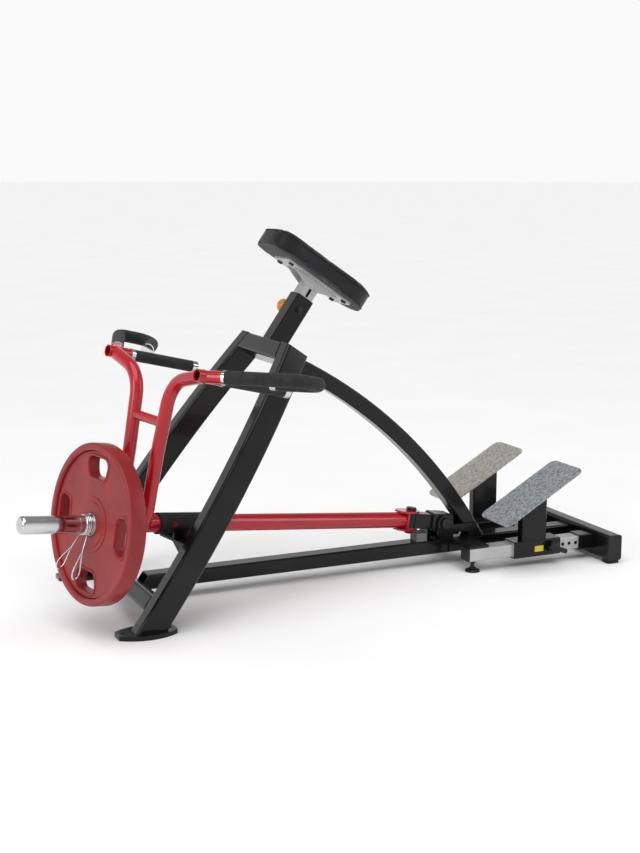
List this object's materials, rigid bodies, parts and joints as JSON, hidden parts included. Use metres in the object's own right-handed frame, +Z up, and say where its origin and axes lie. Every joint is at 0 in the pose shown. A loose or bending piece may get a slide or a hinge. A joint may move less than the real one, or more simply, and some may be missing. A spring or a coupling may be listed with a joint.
{
  "type": "chest-supported lever row machine",
  "caption": "Plate-loaded lever row machine: leaning arch with a raised chest pad, pivoting red arm with straight and loop handles, weight horn and adjustable foot plates.",
  "frame": {"origin": "centre of the rectangle of four anchor holes in the two front floor plates, on the floor", "axes": "+X towards the foot plates along the base rail, +Z up, Y = 0 is the frame's plane of symmetry with the user's right at +Y"},
  "size_m": [1.9854, 1.0325, 1.1064],
  "materials": {
    "frame_black": "gloss black powder coat",
    "arm_red": "gloss red powder coat",
    "chrome": "polished chrome plate",
    "grip_foam": "closed-cell foam, matt",
    "pad_vinyl": "upholstery vinyl, satin",
    "board_black": "painted plywood, matt",
    "silver_paint": "satin silver paint",
    "tread_steel": "galvanised tread plate",
    "plate_red": "moulded rubber over iron, satin",
    "rubber_black": "moulded rubber, matt",
    "rubber_grey": "moulded rubber, matt",
    "plastic_black": "moulded plastic, satin",
    "knob_orange": "polished moulded plastic",
    "fastener_black": "black oxide",
    "screw_red": "painted over with the arm",
    "steel": "plain steel, zinc plated",
    "bush_bronze": "sintered bronze, oiled",
    "nylon": "natural nylon"
  },
  "bodies": {
    "frame": {"left_leg": "frame_black", "right_leg": "frame_black", "top_bridge": "frame_black", "front_cross_tube": "frame_black", "floor_plates": "frame_black", "base_rail": "frame_black", "spine_tube": "frame_black", "rear_cross_tube": "frame_black", "rear_rubber_feet": "rubber_black", "pad_post": "frame_black", "post_guide_bush": "plastic_black", "pivot_pedestal": "frame_black", "pivot_shaft": "fastener_black", "arm_stop_block": "rubber_grey", "frame_fasteners": "fastener_black", "cradle_bracket": "frame_black", "cradle_lining": "rubber_black", "left_foot_rail": "silver_paint", "right_foot_rail": "silver_paint", "tube_end_caps": "plastic_black", "rail_mounts": "frame_black"},
    "post_pin": {"post_pin_knob": "knob_orange"},
    "pad": {"pad_slide_tube": "silver_paint", "pad_bracket": "silver_paint", "pad_bolts": "fastener_black", "pad_backboard": "board_black", "pad_cushion": "pad_vinyl"},
    "yoke": {"swivel_yoke": "frame_black", "yoke_bushes": "bush_bronze", "swing_washers": "steel"},
    "arm": {"swing_fork": "arm_red", "swing_pin": "fastener_black", "arm_tube": "arm_red", "rest_sleeve": "rubber_black", "sleeve_screws": "screw_red", "stop_flange": "chrome", "weight_horn": "chrome", "left_upright": "arm_red", "right_upright": "arm_red", "upright_crossbar": "arm_red", "handle_cores": "steel", "straight_grips": "grip_foam", "left_loop_grip": "grip_foam", "right_loop_grip": "grip_foam", "grip_rings": "chrome"},
    "plate": {"weight_plate": "plate_red"},
    "collar": {"spring_collar": "chrome"},
    "left_foot_support": {"left_carriage": "frame_black", "left_carriage_liners": "nylon", "left_riser": "frame_black", "left_foot_tread": "tread_steel"},
    "left_foot_pin": {"left_pin_knob": "plastic_black"},
    "left_leveller": {"left_levelling_foot": "plastic_black"},
    "right_foot_support": {"right_carriage": "frame_black", "right_carriage_liners": "nylon", "right_riser": "frame_black", "right_foot_tread": "tread_steel"},
    "right_foot_pin": {"right_pin_knob": "plastic_black"},
    "right_leveller": {"right_levelling_foot": "plastic_black"}
  },
  "joints": [
    {"name": "arm_pitch", "type": "hinge", "parent": "frame", "child": "yoke", "pos_m": [1.106, 0, 0.1375], "axis": [0, 1, 0], "range_deg": [0, 18]},
    {"name": "arm_swing", "type": "hinge", "parent": "yoke", "child": "arm", "pos_m": [0.99515, 0, 0.15353], "axis": [-0.1431, 0, -0.9897], "range_deg": [0, 25]},
    {"name": "plate_slide", "type": "slide", "parent": "arm", "child": "plate", "axis": [-0.9654, -0.2204, 0.1396], "range_m": [0, 0.17]},
    {"name": "collar_slide", "type": "slide", "parent": "arm", "child": "collar", "axis": [-0.9654, -0.2204, 0.1396], "range_m": [0, 0.17]},
    {"name": "pad_height", "type": "slide", "parent": "frame", "child": "pad", "axis": [0.5707, 0, 0.8211], "range_m": [-0.035, 0.06]},
    {"name": "post_pin_pull", "type": "slide", "parent": "frame", "child": "post_pin", "axis": [0, 1, 0], "range_m": [0, 0.01], "stiffness_N_per_m": 900, "springref_m": -0.004},
    {"name": "left_foot_slide", "type": "slide", "parent": "frame", "child": "left_foot_support", "axis": [1, 0, 0], "range_m": [-0.075, 0.05]},
    {"name": "left_foot_pin_pull", "type": "slide", "parent": "left_foot_support", "child": "left_foot_pin", "axis": [0, -1, 0], "range_m": [0, 0.012], "stiffness_N_per_m": 900, "springref_m": -0.004},
    {"name": "left_leveller_turn", "type": "hinge", "parent": "frame", "child": "left_leveller", "pos_m": [1.149, -0.14, 0.02], "axis": [0, 0, 1], "range_deg": [-180, 180]},
    {"name": "right_foot_slide", "type": "slide", "parent": "frame", "child": "right_foot_support", "axis": [1, 0, 0], "range_m": [-0.075, 0.05]},
    {"name": "right_foot_pin_pull", "type": "slide", "parent": "right_foot_support", "child": "right_foot_pin", "axis": [0, 1, 0], "range_m": [0, 0.012], "stiffness_N_per_m": 900, "springref_m": -0.004},
    {"name": "right_leveller_turn", "type": "hinge", "parent": "frame", "child": "right_leveller", "pos_m": [1.149, 0.14, 0.02], "axis": [0, 0, 1], "range_deg": [-180, 180]}
  ],
  "couplings": [
    {"joint": "collar_slide", "follows": "plate_slide", "ratio": 1}
  ]
}
